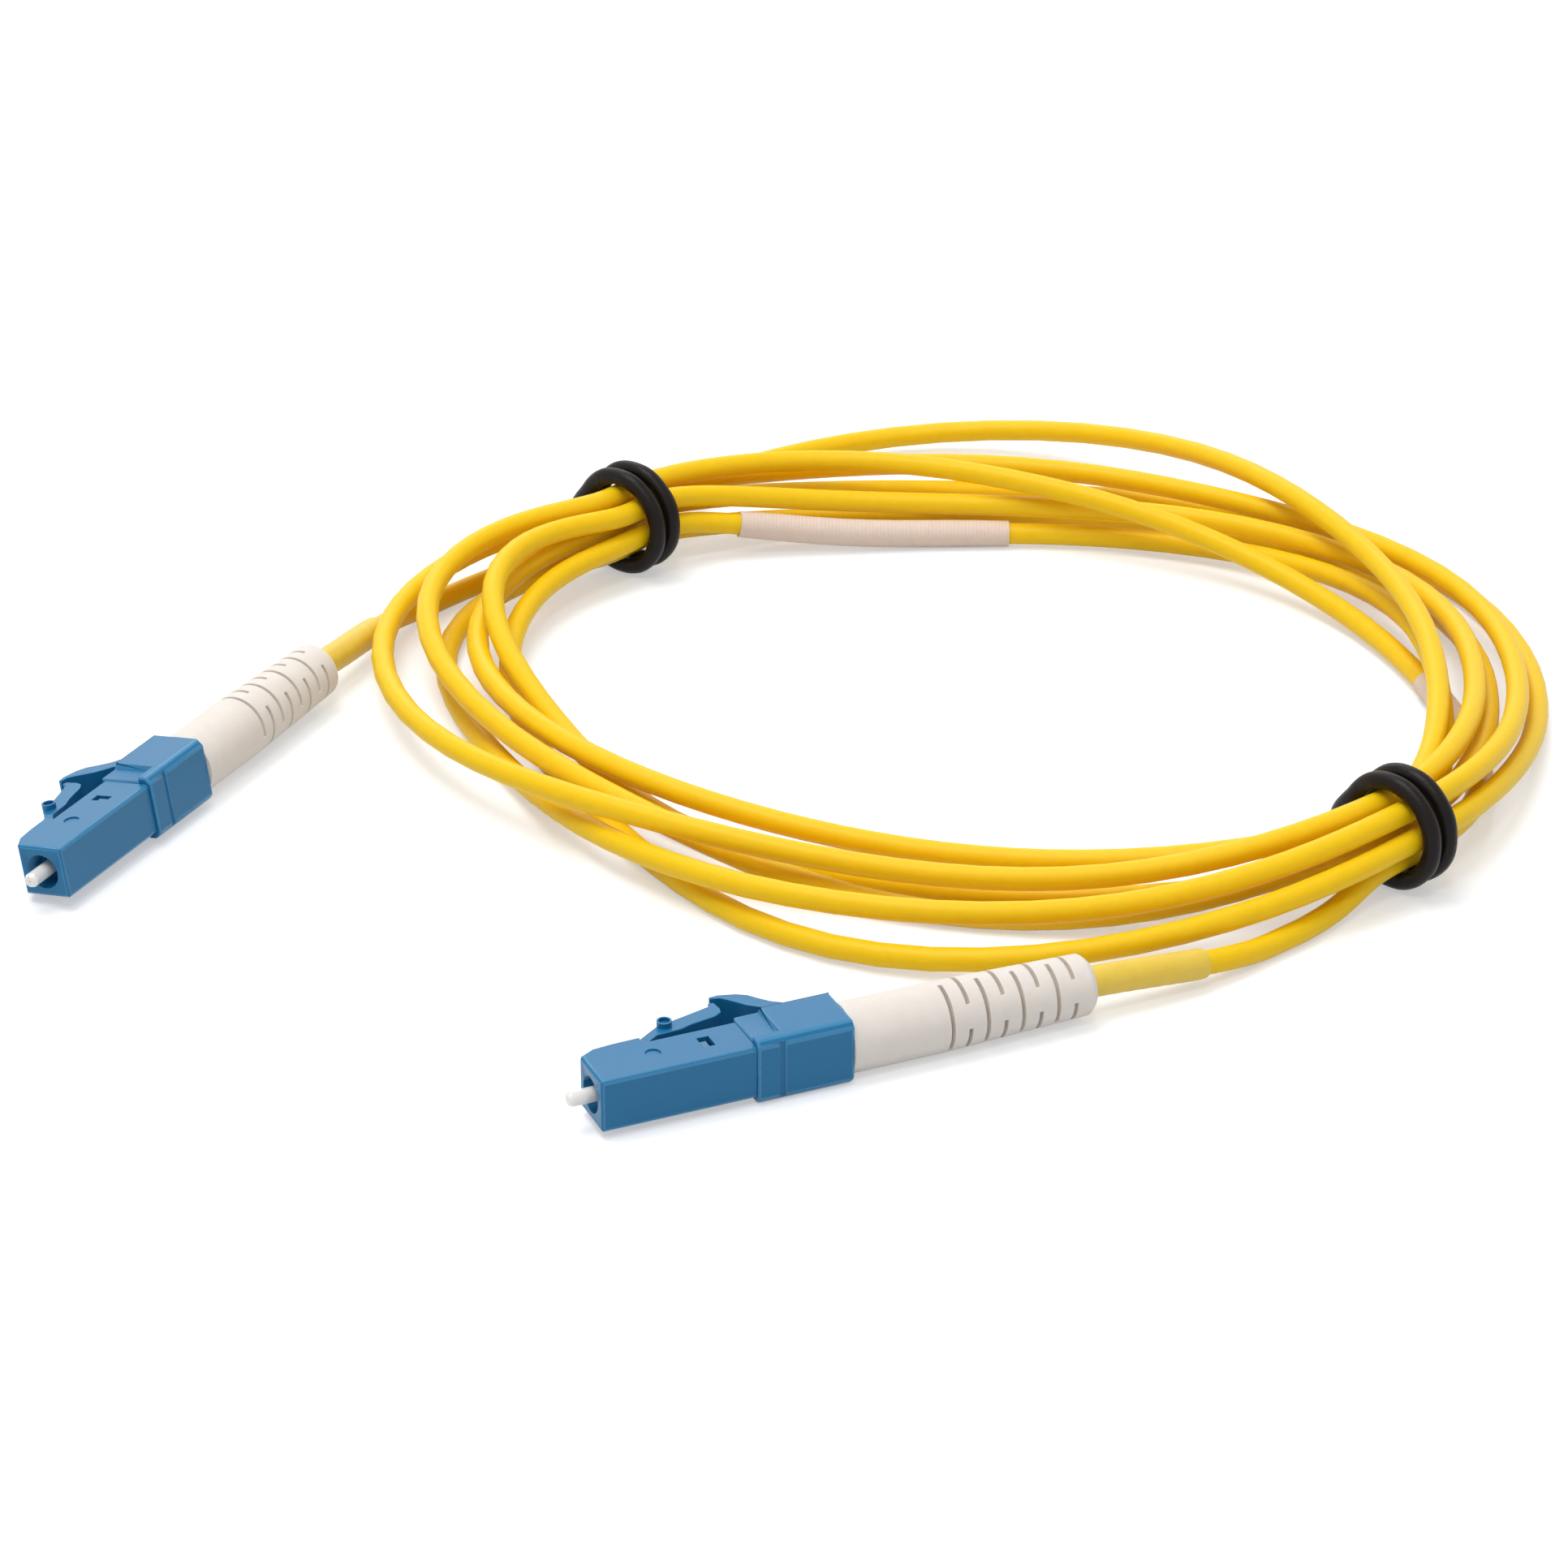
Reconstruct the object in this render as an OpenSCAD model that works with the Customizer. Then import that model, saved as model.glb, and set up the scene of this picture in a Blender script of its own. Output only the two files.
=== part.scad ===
// Single-fibre patch cord, coiled and held by two rubber rings, with a
// small-form connector, a bend-relief boot and a shrink sleeve at each end.
// Units are millimetres, Z is up and the floor is at Z = 0.

/* [Cable] */
// Outer diameter of the cable jacket
cable_d = 2.0; // [1.8:0.1:2.2]
// Diameter of the buffered fibre inside the connectors
buffer_d = 0.9; // [0.6:0.05:0.95]
// Mean radius of the coil
coil_r = 44; // [43:0.5:48]
// Least space planned between strands where they are packed side by side
strand_gap = 0.5; // [0.5:0.05:0.7]
// Outer diameter of the shrink sleeve behind the boot
sleeve_d = 2.6; // [2.5:0.1:3.0]
// Length of the shrink sleeve
sleeve_len = 10.7; // [8:0.5:14]
// Wall of the blank label sleeves round the cable
label_wall = 0.25; // [0.15:0.05:0.3]

/* [Rubber rings] */
// Thickness of the rubber ring's section
tie_band = 1.6; // [1.4:0.1:2.0]
// Space between the ring's two windings
tie_gap = 0.46; // [0.45:0.05:0.8]
// Space between the ring and the bundle that it holds
tie_clear = 0.1; // [0.05:0.05:0.3]

/* [Front housing] */
// Length of the front housing that shows
front_len = 12.9; // [12.5:0.1:14]
// Width and height of the front housing
front_w = 4.5; // [4.4:0.05:4.8]
// Bevel along the front housing's edges
front_bevel = 0.2; // [0.1:0.05:0.5]
// Chamfer round the front face
front_chamfer = 0.25; // [0.1:0.05:0.35]
// Diameter of the mouth round the ferrule
mouth_d = 3.0; // [2.8:0.05:3.2]
// Depth of the mouth
mouth_depth = 2.0; // [1.8:0.1:2.4]
// Diameter of the chamber behind the mouth
chamber_d = 3.7; // [3.6:0.05:3.8]
// Thickness of the stop between mouth and chamber
stop_wall = 0.8; // [0.6:0.1:1.0]
// Diameter of the hole in the stop
stop_bore_d = 2.4; // [2.35:0.05:2.6]
// Length of the neck that enters the rear housing
neck_len = 2.2; // [1.6:0.1:2.3]
// Diameter of that neck
neck_d = 4.2; // [4.1:0.05:4.3]

/* [Latch] */
// Place of the latch's bending line behind the front face
latch_x = 5.2; // [5:0.1:5.5]
// Rise of the bending line over the front housing
latch_rise = 0.5; // [0.45:0.05:0.6]
// Radius of the latch's rounded root
latch_root_r = 0.42; // [0.35:0.01:0.45]
// Width of the latch arm
latch_w = 3.5; // [3:0.1:3.7]
// Width over the two locking ears
ear_span = 4.4; // [4.2:0.05:4.5]
// Radius of a locking ear
ear_r = 0.6; // [0.5:0.05:0.7]

/* [Trigger] */
// Place of the trigger's pivot behind the front housing's end
trigger_back = 4.4; // [4.1:0.1:4.9]
// Radius of the trigger's round root
trigger_root_r = 0.5; // [0.4:0.05:0.6]
// Width of the trigger
trigger_w = 3.8; // [3.4:0.1:4.2]

/* [Rear housing] */
// Length of the rear housing
rear_len = 8.1; // [7.8:0.1:9]
// Height of the rear housing, towards the latch
rear_h = 5.1; // [5:0.05:5.5]
// Width of the rear housing
rear_w = 5.65; // [5.5:0.05:5.8]
// Bevel along the rear housing's edges away from the latch
rear_bevel = 0.5; // [0.2:0.05:0.6]
// Bevel along its edges on the latch's side
rear_top_bevel = 0.1; // [0.05:0.05:0.4]
// Length of the collar before the groove
collar_len = 1.8; // [1.6:0.1:2.2]
// Depth of the pockets in the collar's sides
collar_drop = 0.45; // [0.2:0.05:0.5]
// Width of the groove behind the collar
groove_w = 0.5; // [0.2:0.05:0.6]
// Depth of that groove
groove_depth = 0.2; // [0.1:0.05:0.3]

/* [Ferrule and spring] */
// Diameter of the ceramic ferrule
ferrule_d = 1.249; // [1.2:0.001:1.3]
// Length of the ferrule
ferrule_len = 6.5; // [6.3:0.1:6.8]
// Reach of the ferrule's tip in front of the housing
ferrule_out = 1.9; // [1.6:0.1:2.0]
// Width across the corners of the ferrule's flange
flange_d = 3.5; // [3.3:0.05:3.55]
// Length of that flange
flange_len = 2.0; // [1.8:0.1:2.4]
// Diameter of the stem behind the flange
stem_d = 1.6; // [1.5:0.05:1.7]
// Length of that stem
stem_len = 2.1; // [1.6:0.1:2.2]
// Wire of the ferrule's spring
wire_d = 0.3; // [0.25:0.01:0.35]
// Outer diameter of the spring
spring_d = 2.6; // [2.5:0.05:2.7]
// Turns of the spring
spring_turns = 7; // [6:1:8]
// Length of the spring at rest
spring_len = 5.3; // [5:0.1:5.8]

/* [Crimp body and boot] */
// Diameter of the crimp body inside the chamber
crimp_body_d = 3.5; // [3.4:0.05:3.6]
// Length of the spring pocket in the crimp body
pocket_len = 2.8; // [2.4:0.1:3]
// Diameter of the crimp body's barrel
barrel_d = 2.5; // [2.4:0.05:2.6]
// Outer diameter of the crimp ring
crimp_ring_d = 3.3; // [3.2:0.05:3.35]
// Length of the crimp ring
crimp_ring_len = 6.4; // [6:0.1:7]
// Outer diameter of the boot
boot_d = 5.7; // [5.5:0.1:6.2]
// Diameter at the boot's far end
boot_end_d = 5.0; // [4.4:0.1:5.2]
// Length of the boot behind the rear housing
boot_len = 21.4; // [20.6:0.1:24]
// Plain length of the boot before its slots
boot_plain = 8.2; // [7:0.1:8.6]
// Diameter of the boot's neck inside the rear housing
boot_neck_d = 4.1; // [4:0.05:4.2]
// Length of that neck
boot_neck_len = 2.4; // [2:0.1:2.6]
// Pairs of slots across each direction of the boot
slot_pairs = 4; // [2:1:4]
// Distance between slots of one direction
slot_pitch = 3.1; // [2.8:0.05:3.2]
// Width of a slot along the boot
slot_w = 0.35; // [0.3:0.05:0.7]
// Width of the ribs left between the slots
rib_w = 2.0; // [1.6:0.1:2.4]
// Diameter left whole inside the slots
slot_floor_d = 3.6; // [3.3:0.1:3.9]
// Turn of boot a's slots about its axis
slots_turn_a = 55; // [0:5:90]
// Turn of boot b's slots about its axis
slots_turn_b = 22; // [0:1:90]

/* [Fits] */
// Space round pieces that are pushed together
fit = 0.05; // [0.03:0.01:0.08]
// Space round pieces that turn or slide
slide = 0.06; // [0.04:0.01:0.1]

/* [Place] */
// Centre of the coil, to the right of the middle
coil_x = 13.82; // [0:0.01:30]
// Centre of the coil, behind the middle
coil_y = 12.69; // [0:0.01:30]

/* [Hidden] */
$fn = 48;
cut = 0.02;
blue = [0.20, 0.45, 0.66];
dark_blue = [0.15, 0.36, 0.56];
yellow = [0.98, 0.80, 0.17];
pale_yellow = [0.96, 0.84, 0.36];
black = [0.10, 0.09, 0.10];
boot_white = [0.93, 0.90, 0.84];
ceramic_white = [0.95, 0.95, 0.93];
label_white = [0.96, 0.93, 0.92];
steel = [0.70, 0.71, 0.73];

front_r = front_w / 2;
housing_len = front_len + rear_len;
plug_len = housing_len + boot_len;
lane = cable_d + strand_gap;
lane_unit = lane / 2.5;
pack_r = lane + cable_d / 2;
tie_r = pack_r + tie_clear + tie_band / 2;
tie_step = (tie_band + tie_gap) / 2;
pack_z = tie_r + tie_band / 2;

// ------------------------------------------------------------------
// The coil. Each turn passes the left ring, the back, the right ring and
// the front, clockwise from above. A row gives one turn's steps outward
// from the mean radius and upward from the floor, in units of lane_unit,
// at the azimuths named first. In the rings the strands pack as six round
// one: slot 0 is the middle, and slots 1 to 6 go round from the outer side.
left_az = 141;
left_r = coil_r - 4.8;
left_turn = 20;
left_half = 6;
right_az = -46;
right_r = coil_r + 6.3;
right_turn = 0;
right_half = 5;
back_az = [112, 80, 48, 18, -8, -26];
back_rows = [
    [[5.2, 0.2], [9.6, 1], [-4, 6.8], [-5, 5.6], [-3.2, 6], [0.2, 4.9]],
    [[-6.8, 1.8], [-5.8, 0], [0.8, 0], [6.6, 0], [6.8, 0], [7.2, 2.4]],
    [[-14.6, 0.3], [-15.2, 0.3], [-9, 0.1], [-3, 2], [-2.8, 3.3], [0.8, 2.3]],
    [[-11.4, 2.5], [-14.4, 2.6], [-8.6, 2.9], [0.3, 2.6], [0.6, 3.9], [3, 5.8]],
    [[-4, 2.9], [-4, 2.5], [-5.4, 3.4], [3.8, 2.7], [4.6, 3], [6.4, 5]],
    [[-9.6, 0], [-10.4, 0], [-4, 0], [2, 0], [2, 1.4], [4, 3.4]],
    [[-6, 5.2], [-14.6, 5.7], [-13.4, 4], [-6.8, 0], [-2.4, 0.3], [5.2, 0.3]]];
front_az = [-76, -104, -132, -160, -188, -204];
front_rows = [
    [[-6.4, 1.2], [-9.8, 1.2], [-7.2, 3], [-2.6, 3.8], [0.4, 2.6], [-1.6, 3.6]],
    [[8.4, 1.3], [8.8, 0], [-3, 0], [-4.4, 0], [-3, 2.2], [-4.4, 2.8]],
    [[-1.7, 0], [-5.8, 0], [-6, 0], [-7.1, 1.8], [-0.2, 6.4], [-2, 6.2]],
    [[0, 2.7], [-2.4, 3.2], [0.8, 5.2], [6, 3], [9.2, 2.4], [3.6, 4.1]],
    [[5, 2.7], [5.6, 3.7], [1.6, 1.9], [-1.4, 0], [4.2, 0], [0, 1]],
    [[2, 0], [-1.6, 0], [-4.3, 2.4], [-0.4, 3.2], [6, 5.2], [1.4, 6.4]]];
left_slots = [6, 0, 4, 3, 1, 5, 2];
right_slots = [4, 1, 5, 3, 2, 0, 6];
coil_in = [[163, 6.4, 0.1], [154, 2.8, 0.2]];
coil_out = [[-55, 8, 0.2], [-61, 9.4, 0.1]];

turns = len(back_rows);

// A station on the cable: azimuth, radius and height
function station(az, turn, row) =
    [az - 360 * turn, coil_r + lane_unit * row[0], cable_d / 2 + lane_unit * row[1]];

// Three stations that hold a strand straight through a ring
function held(az, turn, r, slot, twist, half) = let(
        a = 60 * (slot - 1) + twist,
        step = slot == 0 ? [0, 0] : lane * [cos(a), sin(a)])
    [for (d = [half, 0, -half]) [az + d - 360 * turn, r + step[0], pack_z + step[1]]];

stations = concat(
    [for (p = coil_in) station(p[0], 0, [p[1], p[2]])],
    [for (k = [0 : turns - 1]) each concat(
        held(left_az, k, left_r, left_slots[k], left_turn, left_half),
        [for (i = [0 : len(back_az) - 1]) station(back_az[i], k, back_rows[k][i])],
        held(right_az, k, right_r, right_slots[k], right_turn, right_half),
        k == turns - 1 ? [] :
            [for (i = [0 : len(front_az) - 1]) station(front_az[i], k, front_rows[k][i])])],
    [for (p = coil_out) station(p[0], turns - 1, [p[1], p[2]])]);
last_station = len(stations) - 1;

function near_station(i) =
    i < 0 ? 2 * stations[0] - stations[1] :
    i > last_station ? 2 * stations[last_station] - stations[last_station - 1] :
    stations[i];

// A smooth curve through the neighbourhood of four stations
function blend(i, t) = (
    pow(1 - t, 3) * near_station(i - 1)
    + (3 * pow(t, 3) - 6 * pow(t, 2) + 4) * near_station(i)
    + (3 * t + 3 * pow(t, 2) - 3 * pow(t, 3) + 1) * near_station(i + 1)
    + pow(t, 3) * near_station(i + 2)) / 6;

function in_plan(q) = [coil_x + q[1] * cos(q[0]), coil_y + q[1] * sin(q[0]), q[2]];

// Two rings of the tube to a long stretch and one to a short one
function rings_in(i) = abs(stations[i][0] - stations[i + 1][0]) > 12 ? 2 : 1;
coil_polar = concat(
    [for (i = [0 : last_station - 1]) for (s = [0 : rings_in(i) - 1]) blend(i, s / rings_in(i))],
    [blend(last_station, 0)]);
coil_path = [for (q = coil_polar) in_plan(q)];
coil_last = len(coil_path) - 1;
rings_in_turn = len([for (q = coil_polar)
    if (q[0] <= left_az - 360 && q[0] > left_az - 720) q]);

// The least gap between strands, measured along the tube's own straight steps
gap_part = 4;
function on_coil(x) = let(i = min(floor(x), coil_last - 1), t = x - i)
    coil_path[i] * (1 - t) + coil_path[i + 1] * t;
least_gap = min([for (j = [0 : gap_part * coil_last]) for (m = [1 : turns - 1])
    for (d = [-2 : 2]) let(x = j / gap_part, y = x + m * rings_in_turn + d / gap_part)
    if (y <= coil_last) norm(on_coil(x) - on_coil(y))]) - cable_d;

// ------------------------------------------------------------------
// Plug places: where the cable leaves the boot, as an azimuth about the coil's
// centre and steps outward from its mean radius, the direction from the front
// face to the boot, and the roll about the axis
exit_a = [182.8, 13.4];
turn_a = 62.4;
roll_a = 9;
exit_b = [-82.1, 14.6];
turn_b = 23.7;
roll_b = 0;

function axis_z(roll) = max(boot_d / 2, rear_w / 2 * cos(roll) + rear_h / 2 * sin(roll));
function heading(a) = [cos(a), sin(a), 0];
function free_point(p, z) = in_plan([p[0], coil_r + lane_unit * p[1], z]);
start_a = free_point(exit_a, axis_z(roll_a));
start_b = free_point(exit_b, axis_z(roll_b));

// Free stretches between boot and coil: azimuth, steps outward and height
lead_a_points = [[179.4, 11.6, 3], [176, 10.3, 2.7], [172.4, 9.3, 2.2], [169, 8.5, 1.7],
    [166.2, 7.7, 1.3]];
lead_b_points = [[-78.2, 13.5, 2.6], [-75, 12.8, 2.3], [-71.7, 12.1, 1.9], [-68.4, 11.3, 1.5],
    [-65.5, 10.4, 1.1]];
coil_start_way = (coil_path[1] - coil_path[0]) / norm(coil_path[1] - coil_path[0]);
coil_end_way = (coil_path[coil_last] - coil_path[coil_last - 1])
    / norm(coil_path[coil_last] - coil_path[coil_last - 1]);
lead_a_path = concat([start_a, start_a + heading(turn_a)],
    [for (p = lead_a_points) free_point(p, lane_unit * p[2])],
    [coil_path[0] - cable_d / 2 * coil_start_way, coil_path[0]]);
lead_b_path = concat([start_b, start_b + heading(turn_b)],
    [for (p = lead_b_points) free_point(p, lane_unit * p[2])],
    [coil_path[coil_last] + cable_d / 2 * coil_end_way, coil_path[coil_last]]);

function run(path, i) = i == 0 ? 0 : run(path, i - 1) + norm(path[i] - path[i - 1]);
cable_len = run(coil_path, coil_last) + run(lead_a_path, len(lead_a_path) - 1)
    + run(lead_b_path, len(lead_b_path) - 1) + 2 * boot_len;

// The part of a path up to a given run, ended by a point at that run
function up_to(path, length) = let(n = len([for (i = [0 : len(path) - 1])
        if (run(path, i) < length) i]), left = length - run(path, n - 1))
    concat([for (i = [0 : n - 1]) path[i]],
        [path[n - 1] + left * (path[n] - path[n - 1]) / norm(path[n] - path[n - 1])]);

// Direction of a path at a point, and a ring of points round it
function way(path, i, loop) = let(n = len(path),
        a = loop ? path[(i + n - 1) % n] : path[max(i - 1, 0)],
        b = loop ? path[(i + 1) % n] : path[min(i + 1, n - 1)])
    (b - a) / norm(b - a);
function ring(path, i, r, sides, loop, up) = let(t = way(path, i, loop),
        s = cross(t, up) / norm(cross(t, up)), u = cross(s, t))
    [for (j = [0 : sides - 1]) path[i]
        + r * (cos(360 * j / sides) * s + sin(360 * j / sides) * u)];

// A tube swept along a path. With a bore it is a sleeve, with loop it closes.
module swept(path, r, sides, bore = 0, loop = false, up = [0, 0, 1]) {
    n = len(path);
    last = loop ? n - 1 : n - 2;
    outer = [for (i = [0 : n - 1]) each ring(path, i, r, sides, loop, up)];
    inner = bore == 0 ? [] : [for (i = [0 : n - 1]) each ring(path, i, bore, sides, loop, up)];
    skin = [for (i = [0 : last]) for (j = [0 : sides - 1]) let(
            a = i * sides + j, b = i * sides + (j + 1) % sides,
            c = ((i + 1) % n) * sides + j, d = ((i + 1) % n) * sides + (j + 1) % sides)
        each [[a, b, d], [a, d, c]]];
    lining = bore == 0 ? [] : [for (f = skin) [f[0], f[2], f[1]] + n * sides * [1, 1, 1]];
    end = (n - 1) * sides;
    caps = loop ? [] : bore == 0
        ? [for (j = [1 : sides - 2]) each [[0, j + 1, j], [end, end + j, end + j + 1]]]
        : [for (j = [0 : sides - 1]) let(k = (j + 1) % sides, m = n * sides)
            each [[j, m + k, k], [j, m + j, m + k],
                [end + j, end + k, end + m + k], [end + j, end + m + k, end + m + j]]];
    polyhedron(concat(outer, inner), concat(skin, lining, caps));
}

// A rubber ring wound twice round the bundle. The windings lie side by side
// and change places where one climbs over the other.
tie_rings = 72;
two_turns = 720;
tie_left_start = -25;
tie_right_start = 205;
cross_half = 55;
function tie_point(az, r, twist, t) = let(
        from_cross = (t % 360 - 180) / cross_half,
        p = (t < 360 ? 90 : 270) + 90 * sin(90 * max(-1, min(1, from_cross))),
        out = tie_r + 2 * tie_step * max(0, sin(p)),
        a = t + 180 + twist,
        along = tie_step * cos(p),
        e = r + out * cos(a))
    [coil_x + e * cos(az) + along * sin(az), coil_y + e * sin(az) - along * cos(az),
        pack_z + out * sin(a)];

module tie(az, r, twist) {
    path = [for (i = [0 : tie_rings - 1]) tie_point(az, r, twist, two_turns * i / tie_rings)];
    color(black) swept(path, tie_band / 2, 6, loop = true, up = [sin(az), -cos(az), 0]);
}

module on_strand(turn, first_az, last_az, wall) {
    picked = [for (q = coil_polar)
        if (q[0] <= first_az - 360 * turn && q[0] >= last_az - 360 * turn) in_plan(q)];
    swept(picked, cable_d / 2 + fit + wall, 6, bore = cable_d / 2 + fit);
}

// ------------------------------------------------------------------
// Connector pieces, in their own frame: X runs from the front face towards
// the boot, Z points to the latch and Y across.
ferrule_back = ferrule_len - ferrule_out;
stop_x = mouth_depth + stop_wall;
flange_x = stop_x + fit;
glue_x = flange_x + fit;
glue_len = 0.7;
glue_d = ferrule_d - 0.35;
spring_x = flange_x + flange_len;
pocket_back = spring_x + spring_len;
latch_z = front_r + latch_rise;
ear_x = latch_x + 2.8;
ear_z = latch_z + 1.85;
trigger_x = front_len + trigger_back;
trigger_z = rear_h / 2 + 0.1;
panel_x = front_len + collar_len + groove_w;
pocket_z = -1.3;
pocket_ramp = 0.3;
barrel_x = front_len + neck_len + 1.1;
barrel_back = housing_len - 0.4;
jacket_x = housing_len - 0.1;
crimp_ring_x = barrel_x + 0.6;
crimp_ring_back = crimp_ring_x + crimp_ring_len;
window_x = latch_x + 4;
window_len = 1.0;
window_w = 1.5;
window_z = 0.3;
tooth_len = 0.5;
tooth_w = 0.9;
dimple_r = 0.65;
dimple_depth = 0.12;

// A bar along X with its long edges bevelled, the two on the latch's side by top
module bar(x0, x1, w, h, bevel, top) {
    translate([x0, 0, 0]) rotate([90, 0, 90]) linear_extrude(x1 - x0)
        polygon([[-w / 2 + bevel, -h / 2], [w / 2 - bevel, -h / 2], [w / 2, -h / 2 + bevel],
            [w / 2, h / 2 - top], [w / 2 - top, h / 2], [-w / 2 + top, h / 2],
            [-w / 2, h / 2 - top], [-w / 2, -h / 2 + bevel]]);
}

module rod(x0, x1, d) {
    translate([x0, 0, 0]) rotate([0, 90, 0]) cylinder(d = d, h = x1 - x0);
}

// A round pin across the plug, in the middle or at a side
module across(x, z, r, w) {
    across_side(x, 0, z, r, w);
}

module across_side(x, y, z, r, w) {
    translate([x, y, z]) rotate([90, 0, 0]) cylinder(r = r, h = w, center = true);
}

// A side profile in X and Z, given a width
module plate(points, w) {
    translate([0, w / 2, 0]) rotate([90, 0, 0]) linear_extrude(w) polygon(points);
}

module front_body() {
    color(blue) difference() {
        union() {
            bar(0, front_len, front_w, front_w, front_bevel, front_bevel);
            intersection() {
                bar(0, latch_x, front_w, 2 * latch_z + 1, front_bevel, front_bevel);
                plate([[0.1, front_r - 0.15], [1.3, latch_z], [3, latch_z + 0.15],
                    [latch_x, latch_z + 0.2], [latch_x, 0], [0.1, 0]], front_w);
            }
            rod(front_len - cut, front_len + neck_len, neck_d);
        }
        rod(-1, mouth_depth, mouth_d);
        rod(-1, stop_x + 1, stop_bore_d);
        rod(stop_x, front_len + neck_len + 1, chamber_d);
        across(latch_x, latch_z, latch_root_r + slide, latch_w + 2 * slide);
        for (s = [-1, 1]) {
            translate([window_x, s * front_r - 1, window_z - window_w / 2])
                cube([window_len, 2, window_w]);
            across_side(latch_x + 0.1, s * front_r, window_z, dimple_r, 2 * dimple_depth);
        }
        for (a = [0, 90, 180, 270]) rotate([a, 0, 0])
            plate([[-cut, front_r - front_chamfer], [front_chamfer, front_r + cut],
                [-cut, front_r + cut]], 2 * front_w);
    }
}

module latch_arm() {
    color(blue) difference() {
        union() {
            across(latch_x, latch_z, latch_root_r, latch_w);
            plate([[latch_x, latch_z + latch_root_r], [latch_x + 1.5, latch_z + 1.5],
                [latch_x + 2.2, latch_z + 1.9], [latch_x + 3.8, latch_z + 2.35],
                [front_len - 1.9, latch_z + 2.85], [front_len - 0.6, latch_z + 3.2],
                [front_len - 0.55, latch_z + 3.5], [front_len - 0.3, latch_z + 3.65],
                [front_len, latch_z + 3.5], [front_len + 0.1, latch_z + 2.6],
                [front_len - 0.05, latch_z + 2], [front_len - 0.7, latch_z + 1.6],
                [front_len - 2.9, latch_z + 1.2], [latch_x + 3.8, latch_z + 0.85],
                [latch_x + 1.8, latch_z + 0.75], [latch_x + 0.2, latch_z - 0.36],
                [latch_x, latch_z]], latch_w);
            across(ear_x, ear_z, ear_r, ear_span);
        }
        for (s = [-1, 1]) across_side(ear_x, s * ear_span / 2, ear_z, ear_r - 0.15, 0.6);
    }
}

module trigger_lever() {
    color(blue) union() {
        across(trigger_x, trigger_z, trigger_root_r, trigger_w);
        plate([[front_len - 0.2, trigger_z + 4.1], [front_len - 0.15, trigger_z + 4.35],
            [front_len + 0.6, trigger_z + 4.4], [front_len + 2, trigger_z + 4],
            [trigger_x - 1.6, trigger_z + 3.5], [trigger_x - 1, trigger_z + 2.7],
            [trigger_x - 0.3, trigger_z + 1.9], [trigger_x + 0.4, trigger_z + 1.4],
            [trigger_x + 1, trigger_z + 0.7], [trigger_x + 1.5, trigger_z + 0.2],
            [trigger_x + 1.5, trigger_z + 0.05], [trigger_x + trigger_root_r / 2, trigger_z + 0.05],
            [trigger_x - 0.3, trigger_z + 0.2],
            [trigger_x - 0.5, trigger_z + 0.65], [trigger_x - 1.3, trigger_z + 1.3],
            [trigger_x - 2.3, trigger_z + 2.15], [trigger_x - 2.8, trigger_z + 2.8],
            [trigger_x - 3.4, trigger_z + 3.55], [front_len + 0.6, trigger_z + 3.95]],
            trigger_w);
    }
}

module rear_body() {
    pocket_y = rear_w / 2 - collar_drop;
    color(blue) difference() {
        bar(front_len, housing_len, rear_w, rear_h, rear_bevel, rear_top_bevel);
        for (s = [0, 1]) mirror([0, s, 0]) translate([0, 0, pocket_z]) linear_extrude(rear_h)
            polygon([[front_len - 1, pocket_y], [panel_x - pocket_ramp, pocket_y],
                [panel_x, rear_w / 2], [panel_x, rear_w], [front_len - 1, rear_w]]);
        translate([panel_x - groove_w, -rear_w, -rear_h])
            cube([groove_w, 2 * rear_w, rear_h / 2 + groove_depth]);
        rod(front_len - 1, front_len + neck_len + fit, neck_d + 2 * fit);
        rod(front_len, housing_len + 1, crimp_ring_d + 2 * fit);
        rod(housing_len - boot_neck_len - fit, housing_len + 1, boot_neck_d + 2 * fit);
        across(trigger_x, trigger_z, trigger_root_r + slide, trigger_w + 2 * slide);
    }
}

module ferrule_rod() {
    color(ceramic_white) difference() {
        union() {
            rod(-ferrule_out + 0.3, ferrule_back, ferrule_d);
            translate([-ferrule_out, 0, 0]) rotate([0, 90, 0])
                cylinder(d1 = ferrule_d - 0.3, d2 = ferrule_d, h = 0.3);
        }
        rod(-ferrule_out - 1, ferrule_back + 1, 0.125);
        difference() {
            rod(glue_x, glue_x + glue_len, ferrule_d + 1);
            rod(glue_x, glue_x + glue_len, glue_d);
        }
    }
}

module flange_body() {
    color(steel) difference() {
        union() {
            translate([flange_x, 0, 0]) rotate([0, 90, 0])
                cylinder(d = flange_d, h = flange_len, $fn = 6);
            rod(flange_x, flange_x + flange_len + stem_len, stem_d);
        }
        rod(flange_x - 1, ferrule_back + fit, ferrule_d + 2 * 0.01);
        rod(ferrule_back, flange_x + flange_len + stem_len + 1, buffer_d + 2 * fit);
    }
}

module ferrule_spring() {
    rise = spring_len - wire_d;
    mean_r = (spring_d - wire_d) / 2;
    per_turn = 8;
    steps = spring_turns * per_turn;
    path = [for (i = [0 : steps]) [spring_x + wire_d / 2 + rise * i / steps,
        mean_r * cos(360 * i / per_turn), mean_r * sin(360 * i / per_turn)]];
    color(steel) swept(path, wire_d / 2, 6, up = [1, 0, 0]);
}

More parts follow.
